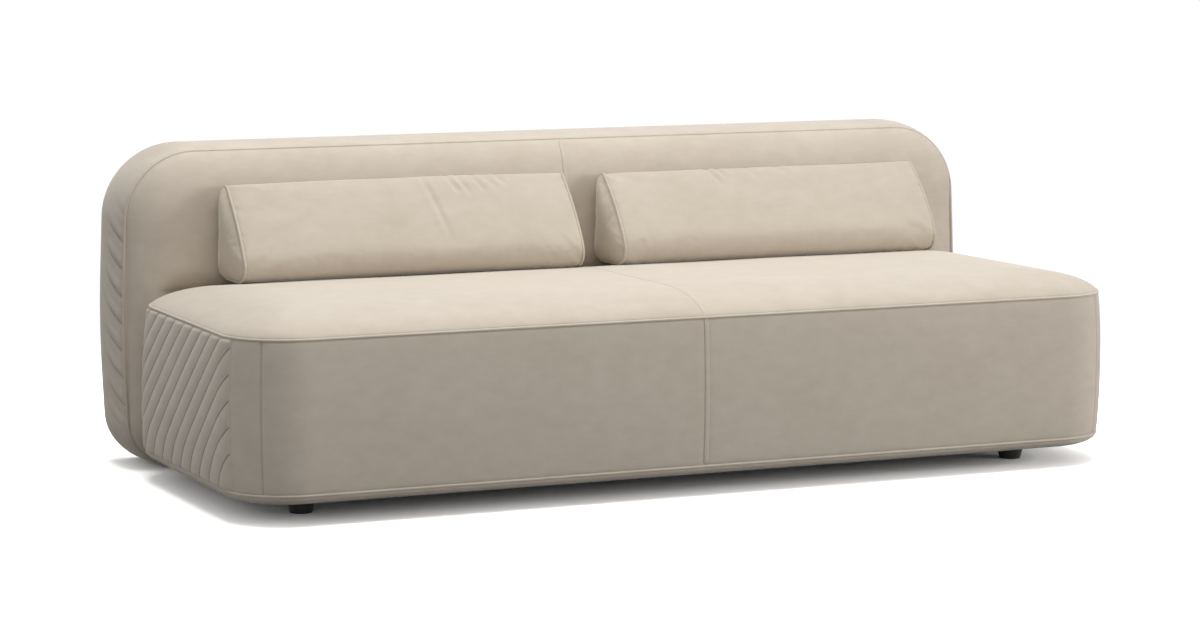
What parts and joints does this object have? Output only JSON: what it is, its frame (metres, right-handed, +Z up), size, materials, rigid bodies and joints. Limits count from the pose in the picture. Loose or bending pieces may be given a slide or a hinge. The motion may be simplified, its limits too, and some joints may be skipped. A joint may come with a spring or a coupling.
{
  "type": "armless sofa",
  "caption": "Armless sofa in beige velour: a low block seat with quilted sides, a tall slab back and two loose wedge bolsters.",
  "frame": {"origin": "on the floor, under the middle of the sofa's plan", "axes": "+X to the sitter's left as seen from the front (picture right), +Y towards the back, +Z up; the seat faces -Y"},
  "size_m": [2.252, 1.0674, 0.773],
  "materials": {
    "cover_fabric": "soft beige velour, slightly mottled",
    "cord_fabric": "beige velour over cord",
    "lining": "black non-woven",
    "foam": "cream seating foam",
    "wrap_foam": "soft wrapping foam",
    "timber": "planed timber and panel",
    "board": "hardboard",
    "webbing": "elastic webbing",
    "steel": "plated steel",
    "foot_plastic": "near-black plastic"
  },
  "bodies": {
    "sofa": {"seat_front_rail": "timber", "seat_rear_rail": "timber", "seat_left_rail": "timber", "seat_right_rail": "timber", "seat_ribs": "timber", "seat_webbing": "webbing", "seat_foam": "foam", "seat_front_pad": "wrap_foam", "seat_rear_pad": "wrap_foam", "seat_left_pad": "wrap_foam", "seat_right_pad": "wrap_foam", "seat_left_top_cover": "cover_fabric", "seat_right_top_cover": "cover_fabric", "seat_left_front_cover": "cover_fabric", "seat_right_front_cover": "cover_fabric", "seat_left_side_cover": "cover_fabric", "seat_right_side_cover": "cover_fabric", "seat_rear_cover": "cover_fabric", "seat_base_band": "cover_fabric", "seat_dust_cover": "lining", "seat_top_piping": "cord_fabric", "seat_base_piping": "cord_fabric", "seat_centre_welt": "cord_fabric", "front_left_foot": "foot_plastic", "front_right_foot": "foot_plastic", "rear_left_foot": "foot_plastic", "rear_right_foot": "foot_plastic", "foot_studs": "steel", "back_left_post": "timber", "back_right_post": "timber", "back_inner_posts": "timber", "back_centre_post": "timber", "back_top_rail": "timber", "back_bottom_rail": "timber", "back_webbing": "webbing", "back_board": "board", "back_foam": "foam", "back_left_pad": "wrap_foam", "back_right_pad": "wrap_foam", "back_top_pad": "wrap_foam", "back_bottom_pad": "wrap_foam", "back_left_front_cover": "cover_fabric", "back_right_front_cover": "cover_fabric", "back_left_band": "cover_fabric", "back_right_band": "cover_fabric", "back_top_band": "cover_fabric", "back_bottom_band": "cover_fabric", "back_rear_cover": "cover_fabric", "back_front_piping": "cord_fabric", "back_rear_piping": "cord_fabric", "back_centre_welt": "cord_fabric", "back_glides": "foot_plastic", "support_bars": "steel", "bar_bolts": "steel"},
    "left_bolster": {"left_bolster_core": "foam", "left_bolster_cover": "cover_fabric", "left_bolster_piping": "cord_fabric"},
    "right_bolster": {"right_bolster_core": "foam", "right_bolster_cover": "cover_fabric", "right_bolster_piping": "cord_fabric"}
  },
  "joints": [
    {"name": "left_bolster_lift", "type": "slide", "parent": "sofa", "child": "left_bolster", "axis": [0, 0, 1], "range_m": [0, 0.35]},
    {"name": "right_bolster_lift", "type": "slide", "parent": "sofa", "child": "right_bolster", "axis": [0, 0, 1], "range_m": [0, 0.35]}
  ]
}
